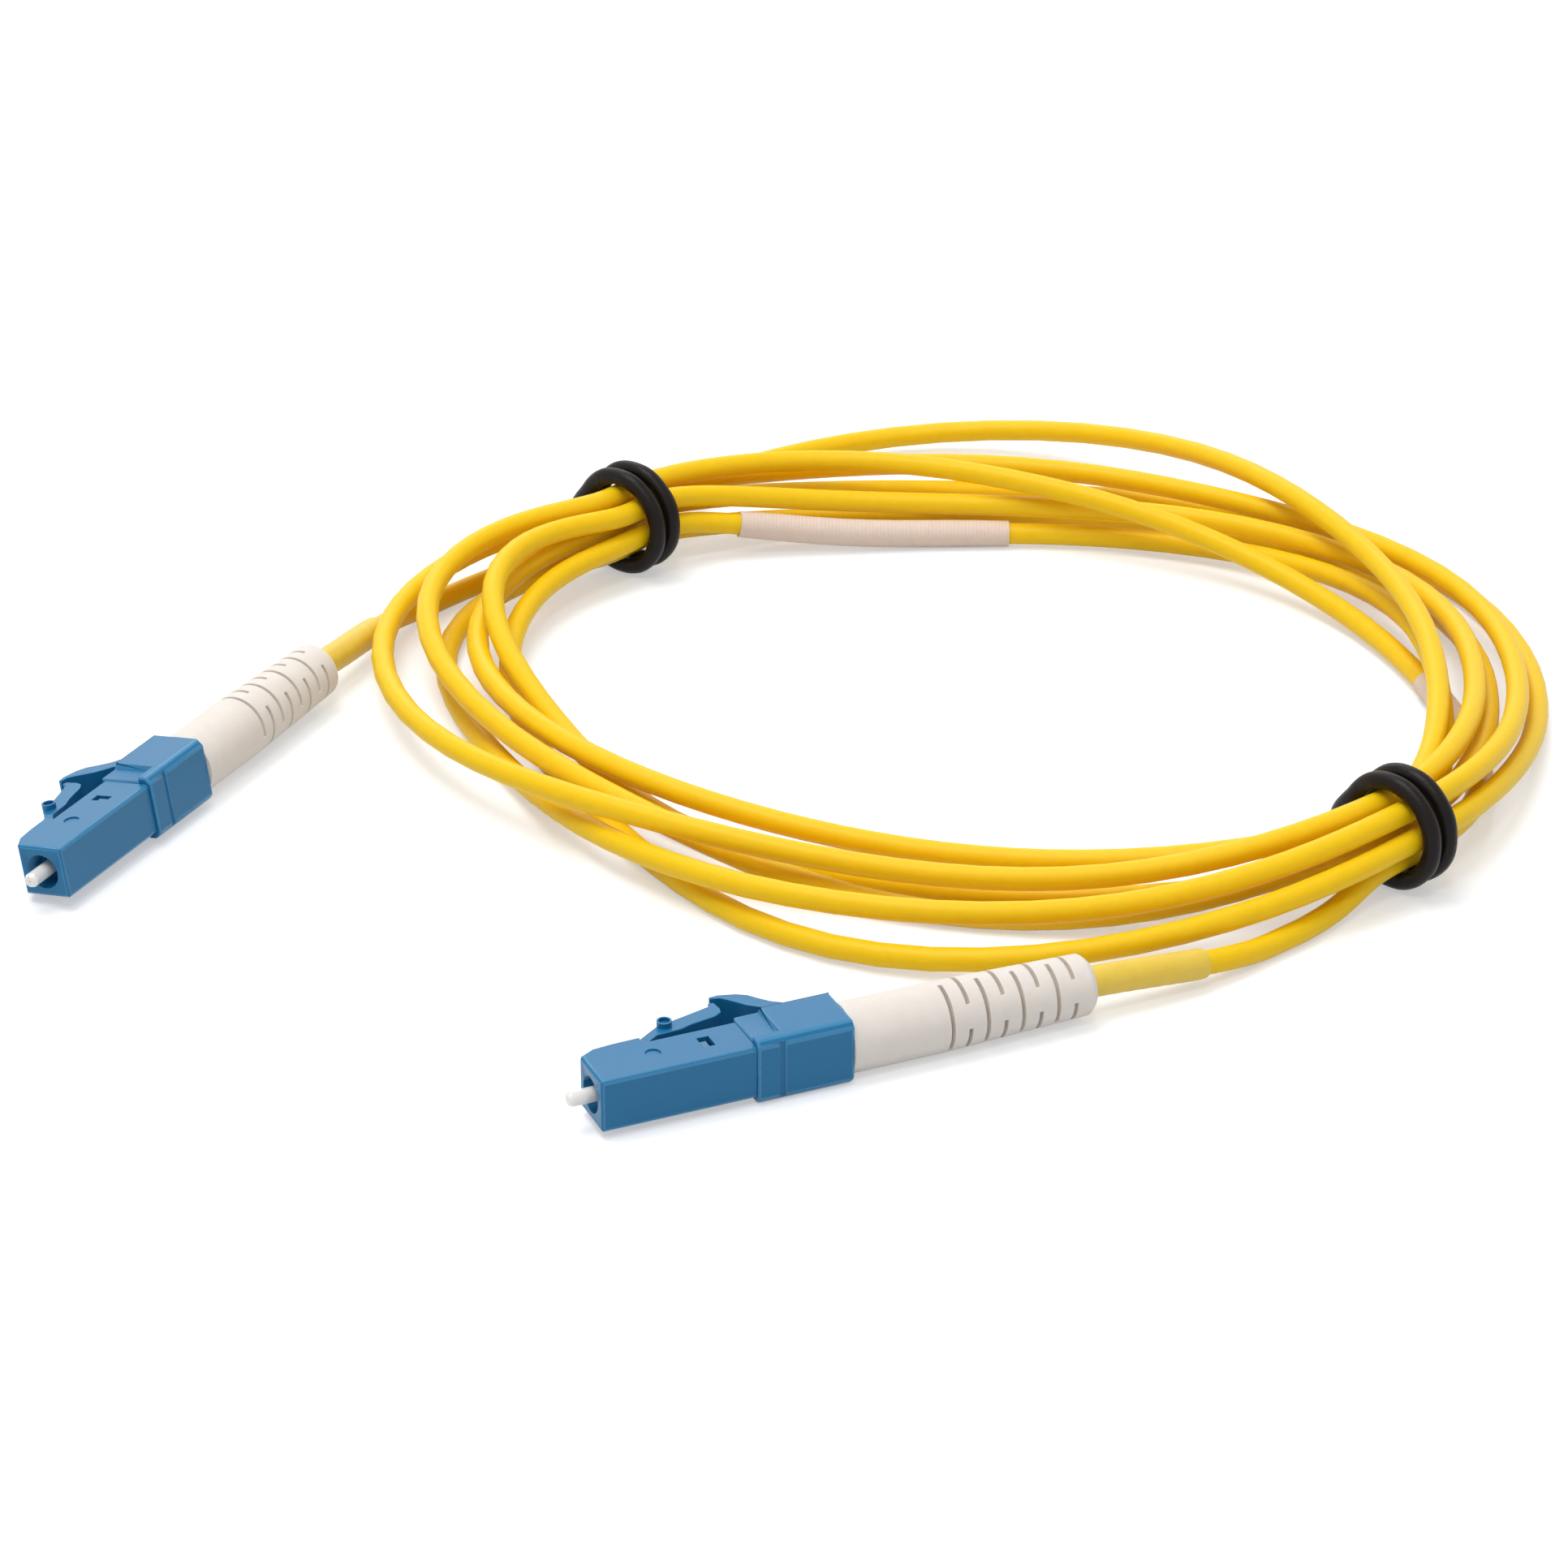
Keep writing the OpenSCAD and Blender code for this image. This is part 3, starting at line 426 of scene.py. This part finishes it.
def moulded(node, body, material, broad_edge, fine_edge, least=0.3 * mm, painted_highlight_edges=None):
    """A copy of a piece in place of the plain one, with its corners rounded off: by the broad
    edge between two broad faces and by the fine one elsewhere, where they are longer than the least"""
    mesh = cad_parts[node].data.copy()
    mesh.name = node + "_moulded"
    mesh.materials.clear()
    mesh.materials.append(material)
    # The second material goes on the rounded edges: the painted edge highlight where one is given.
    mesh.materials.append(painted_highlight_edges or material)
    bm = bmesh.new()
    bm.from_mesh(mesh)
    bmesh.ops.remove_doubles(bm, verts=bm.verts, dist=same_point)
    bmesh.ops.dissolve_limit(bm, angle_limit=flat_within, verts=bm.verts, edges=bm.edges)
    rounding = bm.edges.layers.float.new("bevel_weight_edge")
    for edge in bm.edges:
        if edge.is_convex and edge.calc_face_angle() > turns_a_corner and edge.calc_length() > least:
            broad = min(face.calc_area() for face in edge.link_faces) > broad_face
            edge[rounding] = 1 if broad else fine_edge / broad_edge
    bm.to_mesh(mesh)
    bm.free()
    mesh.shade_smooth()
    mesh.set_sharp_from_angle(angle=stays_sharp)
    piece = placed(node + "_moulded", mesh)
    rounded_edges = piece.modifiers.new("rounded edges", "BEVEL")
    rounded_edges.limit_method = "WEIGHT"
    rounded_edges.width = broad_edge
    rounded_edges.segments = 3
    rounded_edges.profile = 0.5
    rounded_edges.use_clamp_overlap = False
    rounded_edges.material = 1
    flats = piece.modifiers.new("flat faces", "WEIGHTED_NORMAL")
    flats.keep_sharp = True
    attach(piece, body)
    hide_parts(node)
    return piece


for end in "ab":
    moulded("front_housing_" + end, "cord", housing_blue,
            broad_edge=0.13 * mm, fine_edge=0.05 * mm, painted_highlight_edges=painted_highlight_blue)

# The latches: the arm of the same blue plastic that bends at its root on the
# front housing, with two round ears that lock in the port and a turned-up tail.
for end in "ab":
    # Its rounded edges carry the painted highlight.
    moulded("latch_" + end, "latch_" + end, housing_blue,
            broad_edge=0.08 * mm, fine_edge=0.06 * mm, painted_highlight_edges=painted_highlight_blue)

# The triggers: a bowed lever of the blue plastic that grows from the rear
# housing and presses the latch's tail with its nose.
for end in "ab":
    # Its rounded edges carry the painted highlight.
    moulded("trigger_" + end, "trigger_" + end, housing_blue,
            broad_edge=0.1 * mm, fine_edge=0.07 * mm, painted_highlight_edges=painted_highlight_blue)

# The rear housings: the blue plastic shell that snaps over the front
# housing's neck and holds the boot, with a pocket on two sides and a groove.
for end in "ab":
    # Its rounded edges carry the painted highlight.
    moulded("rear_housing_" + end, "cord", housing_blue,
            broad_edge=0.22 * mm, fine_edge=0.07 * mm, painted_highlight_edges=painted_highlight_blue)

# The ferrules: zirconia ceramic rods, ground and polished, that carry the
# glass fibre to the tip. They are white and let a little light through.
ceramic, ceramic_shader = mottled(
    "white_ceramic", colour=(0.86, 0.85, 0.81), deep=(0.82, 0.8, 0.75),
    roughness=0.1, spread=0.06, patch=700, grain=5000, depth=0.03)
ceramic_shader.inputs["IOR"].default_value = 2.1
let_light_in(ceramic_shader, 0.3, 1.2 * mm, 1.1 * mm, 1 * mm)
for end in "ab":
    moulded("ferrule_" + end, "ferrule_" + end, ceramic,
            broad_edge=0.05 * mm, fine_edge=0.05 * mm, least=0.02 * mm)

# The boots: soft warm-white rubber, moulded as one tapered sleeve that grips
# the rear housing. Slots cut round it by turns let it bend with the cable.
boot_white, boot_shader = mottled(
    "boot_white", colour=(0.84, 0.785, 0.73), deep=(0.78, 0.715, 0.65),
    roughness=0.6, spread=0.1, patch=900, grain=2600, depth=0.4)
boot_shader.inputs["Specular IOR Level"].default_value = 0.3
let_light_in(boot_shader, 0.2, 1.2 * mm, 0.8 * mm, 0.6 * mm)
boot_len, boot_plain, boot_neck = 21.4 * mm, 8.2 * mm, 2.4 * mm
boot_r, boot_neck_r, boot_end_r, boot_round = 2.85 * mm, 2.05 * mm, 2.5 * mm, 0.6 * mm
slot_count, slot_pitch, slot_w, slot_floor_r, rib_half = 8, 3.1 * mm, 0.35 * mm, 1.8 * mm, 1.0 * mm
slot_rim, boot_facets = 0.05 * mm, 120
skin_depth, side_on = 0.1 * mm, 0.3
rim_turns, rim_sharp = math.radians(25), math.radians(20)
boot_bore_r = cable_d / 2 + 0.05 * mm
plug_len = 42.4 * mm


def boot_radius(x):
    """The boot's outer radius at a distance from its front end"""
    return boot_r + (boot_end_r - boot_r) * max(0, x - boot_plain) / (boot_len - boot_plain - boot_round)


def plug_place(exit_at, heading, roll):
    """Where a plug lies: its length runs to the boot's back end, where the cable comes out"""
    return (Matrix.Translation(exit_at) @ Matrix.Rotation(math.radians(heading), 4, "Z")
            @ Matrix.Rotation(math.radians(-90 - roll), 4, "X") @ Matrix.Translation((-plug_len, 0, 0)))


def slotted_boot(end, place, slots_turn):
    """The tapered sleeve, spun round its length, with its slots pressed in by turns a quarter round"""
    slots = [boot_plain + slot_pitch * i / 2 for i in range(slot_count)]
    stations = sorted(slots + [x + slot_w for x in slots])
    outline = [(-boot_neck, boot_bore_r), (-boot_neck, boot_neck_r), (0, boot_neck_r), (0, boot_r)]
    outline += [(x, boot_radius(x)) for x in stations]
    outline += [(boot_len - boot_round, boot_end_r),
                (boot_len - 0.4 * boot_round, boot_end_r - 0.5 * boot_round),
                (boot_len, boot_end_r - boot_round), (boot_len, boot_bore_r)]
    bm = bmesh.new()
    corners = [bm.verts.new((x, 0, r)) for x, r in outline]
    profile = [bm.edges.new(pair) for pair in zip(corners, corners[1:] + corners[:1])]
    bmesh.ops.spin(bm, geom=corners + profile, axis=(1, 0, 0), cent=(0, 0, 0), angle=math.tau,
                   steps=boot_facets, use_merge=True)
    bmesh.ops.recalc_face_normals(bm, faces=bm.faces)
    for i, x in enumerate(slots):
        rib_at = math.radians((90 - slots_turn) if i % 2 else -slots_turn)
        rib_share = rib_half / boot_radius(x)
        cut = []
        for face in bm.faces:
            middle = face.calc_center_median()
            round_at = math.atan2(middle.z, middle.y) - rib_at
            on_skin = math.hypot(middle.y, middle.z) > boot_end_r - skin_depth
            outer = on_skin and abs(face.normal.x) < side_on
            if outer and x < middle.x < x + slot_w and abs(math.sin(round_at)) > rib_share:
                cut.append(face)
        pressed = bmesh.ops.extrude_face_region(bm, geom=cut)["geom"]
        bmesh.ops.delete(bm, geom=cut, context="FACES")
        for vert in (v for v in pressed if isinstance(v, bmesh.types.BMVert)):
            share = slot_floor_r / math.hypot(vert.co.y, vert.co.z)
            vert.co.y *= share
            vert.co.z *= share
    bmesh.ops.recalc_face_normals(bm, faces=bm.faces)
    rims = [edge for edge in bm.edges if edge.calc_face_angle() > rim_turns]
    bmesh.ops.bevel(bm, geom=rims, affect="EDGES", offset=slot_rim, offset_type="OFFSET", segments=2,
                    profile=0.5, material=-1, clamp_overlap=True)
    bmesh.ops.recalc_face_normals(bm, faces=bm.faces)
    boot_front = Matrix.Translation((plug_len - boot_len, 0, 0))
    bmesh.ops.transform(bm, matrix=place @ boot_front, verts=bm.verts)
    mesh = bpy.data.meshes.new("boot_" + end + "_slotted")
    bm.to_mesh(mesh)
    bm.free()
    mesh.shade_smooth()
    mesh.set_sharp_from_angle(angle=rim_sharp)
    mesh.materials.append(boot_white)
    boot = placed("boot_" + end + "_slotted", mesh)
    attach(boot, "cord")
    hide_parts("boot_" + end)


place_a = plug_place(lead_a_line[0], heading_a, roll=9)
place_b = plug_place(lead_b_line[0], heading_b, roll=0)
slotted_boot("a", place_a, slots_turn=55)
slotted_boot("b", place_b, slots_turn=22)

# Inside each plug: a steel flange pressed on the ferrule with its spring
# behind it, a crimp body of nickel whose teeth show in the windows, its colour
# darkened and tinted to the housing's blue as painted shade and a painted
# reflection of the housing, a plain crimp ring and the buffered fibre.


def turned_metal():
    """A group that gives a turned metal's tool marks as a roughness and a bump height"""
    group = bpy.data.node_groups.new("turned_metal", "ShaderNodeTree")
    for name, kind in (("Place", "NodeSocketVector"), ("Mark Scale", "NodeSocketFloat"),
                       ("Roughness", "NodeSocketFloat")):
        group.interface.new_socket(name, in_out="INPUT", socket_type=kind)
    for name in ("Roughness", "Height"):
        group.interface.new_socket(name, in_out="OUTPUT", socket_type="NodeSocketFloat")
    node, link = group.nodes.new, group.links.new
    given, gives = node("NodeGroupInput"), node("NodeGroupOutput")
    marks = node("ShaderNodeTexNoise")
    marks.inputs["Detail"].default_value = 4
    link(given.outputs["Place"], marks.inputs["Vector"])
    link(given.outputs["Mark Scale"], marks.inputs["Scale"])
    spread = node("ShaderNodeMath")
    spread.operation = "MULTIPLY_ADD"
    spread.inputs[1].default_value = 0.2
    link(marks.outputs["Fac"], spread.inputs[0])
    link(given.outputs["Roughness"], spread.inputs[2])
    link(spread.outputs[0], gives.inputs["Roughness"])
    link(marks.outputs["Fac"], gives.inputs["Height"])
    return group


turned = turned_metal()


def metal(name, colour, roughness, marks):
    """A turned metal with its tool marks at a given scale"""
    material, tree, shader, place = finish_named(name, colour, roughness)
    shader.inputs["Metallic"].default_value = 1.0
    group = tree.nodes.new("ShaderNodeGroup")
    group.node_tree = turned
    group.inputs["Mark Scale"].default_value = marks
    group.inputs["Roughness"].default_value = roughness
    bump = tree.nodes.new("ShaderNodeBump")
    bump.inputs["Distance"].default_value = 0.02 * mm
    bump.inputs["Strength"].default_value = 0.3
    wire(tree, (place, group.inputs["Place"]), (group.outputs["Roughness"], shader.inputs["Roughness"]),
         (group.outputs["Height"], bump.inputs["Height"]), (bump.outputs["Normal"], shader.inputs["Normal"]))
    return material


flange_steel = metal("flange_steel", (0.62, 0.63, 0.65), roughness=0.28, marks=2200)
spring_steel = metal("spring_steel", (0.66, 0.67, 0.68), roughness=0.3, marks=3000)
# Nickel darkened and tinted blue: painted shade in the windows and a painted reflection of the blue housing.
crimp_nickel = metal("crimp_nickel", (0.1, 0.205, 0.32), roughness=0.45, marks=1800)
crimp_steel = metal("crimp_steel", (0.58, 0.58, 0.6), roughness=0.35, marks=1600)
buffer_plastic = mottled(
    "buffer_plastic", colour=(0.9, 0.72, 0.2), deep=(0.86, 0.66, 0.15),
    roughness=0.4, spread=0.1, patch=300, grain=3000, depth=0.1)[0]
for end in "ab":
    for node, material in (("flange_", flange_steel), ("crimp_body_", crimp_nickel),
                           ("crimp_ring_", crimp_steel), ("buffer_", buffer_plastic)):
        dress(node + end, material)
wire_sharp = math.radians(50)
for end, place in (("a", place_a), ("b", place_b)):
    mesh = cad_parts["spring_" + end].data.copy()
    mesh.name = "spring_" + end + "_coiled"
    mesh.materials.clear()
    mesh.materials.append(spring_steel)
    bm = bmesh.new()
    bm.from_mesh(mesh)
    bmesh.ops.remove_doubles(bm, verts=bm.verts, dist=same_point)
    bm.to_mesh(mesh)
    bm.free()
    mesh.shade_smooth()
    mesh.set_sharp_from_angle(angle=wire_sharp)
    spring = placed(mesh.name, mesh)
    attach(spring, "cord")
    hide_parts("spring_" + end)
    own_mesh(spring)

# The floor is a plain pale sheet. It shows white to the camera and in gloss,
# more so farther away, and still takes the soft shadow of what lies on it.
floor_half, floor_gap = 3, 0.05 * mm
floor_mesh = bpy.data.meshes.new("floor")
bm = bmesh.new()
bmesh.ops.create_grid(bm, x_segments=1, y_segments=1, size=floor_half)
bm.to_mesh(floor_mesh)
bm.free()
floor = placed("floor", floor_mesh)
floor.location.z = cad_box[0][2] - floor_gap
paper = bpy.data.materials.new("pale_floor")
paper.use_nodes = True
paper_tree = paper.node_tree
paper_shader = paper_tree.nodes["Principled BSDF"]
paper_shader.inputs["Base Color"].default_value = (0.705, 0.72, 0.735, 1)
paper_shader.inputs["Roughness"].default_value = 0.9
paper_shader.inputs["Specular IOR Level"].default_value = 0.1
paper_shader.inputs["Emission Color"].default_value = (1, 1, 1, 1)


def seen_share(tree, shown, hidden):
    """A strength with one value to the camera and in gloss, and another for the light it gives"""
    path = tree.nodes.new("ShaderNodeLightPath")
    share = path.outputs["Is Camera Ray"]
    for ray in ("Is Glossy Ray", "Is Transmission Ray"):
        either = tree.nodes.new("ShaderNodeMath")
        either.operation = "MAXIMUM"
        tree.links.new(share, either.inputs[0])
        tree.links.new(path.outputs[ray], either.inputs[1])
        share = either.outputs[0]
    strength = tree.nodes.new("ShaderNodeMath")
    strength.operation = "MULTIPLY_ADD"
    strength.inputs[1].default_value = shown - hidden
    strength.inputs[2].default_value = hidden
    tree.links.new(share, strength.inputs[0])
    return strength.outputs[0]


paper_place = paper_tree.nodes.new("ShaderNodeTexCoord")
away = paper_tree.nodes.new("ShaderNodeVectorMath")
away.operation = "LENGTH"
fade = paper_tree.nodes.new("ShaderNodeMapRange")
for socket, value in (("From Min", 0.15), ("From Max", 1.0), ("To Min", 0.43), ("To Max", 0.8)):
    fade.inputs[socket].default_value = value
shown_fade = paper_tree.nodes.new("ShaderNodeMath")
shown_fade.operation = "MULTIPLY"
wire(paper_tree, (paper_place.outputs["Object"], away.inputs[0]),
     (away.outputs["Value"], fade.inputs["Value"]), (fade.outputs["Result"], shown_fade.inputs[0]),
     (seen_share(paper_tree, 1, 0), shown_fade.inputs[1]),
     (shown_fade.outputs[0], paper_shader.inputs["Emission Strength"]))
floor_mesh.materials.append(paper)

# The light is plain and soft: a broad lamp overhead at the left, a weaker one
# high behind for the sheen on the upper faces, and a narrow one in front.
world = bpy.data.worlds.new("studio")
world.use_nodes = True
background = world.node_tree.nodes["Background"]
background.inputs["Color"].default_value = (1, 1, 1, 1)
world.node_tree.links.new(seen_share(world.node_tree, 1.0, 0.48), background.inputs["Strength"])
bpy.context.scene.world = world
for name, at, size, power in (("key_softbox", (-0.2, 0.02, 0.9), 0.55, 5),
                              ("back_softbox", (-0.15, 0.8, 0.5), 0.5, 1.2),
                              ("front_strip", (0.02, -0.5, 0.85), 0.18, 1.2)):
    lamp = placed(name, bpy.data.lights.new(name, "AREA"))
    lamp.data.size = size
    lamp.data.energy = power
    lamp.location = at
    lamp.rotation_euler = (-Vector(at)).to_track_quat("-Z", "Y").to_euler()
bpy.context.scene.view_settings.view_transform = "Standard"
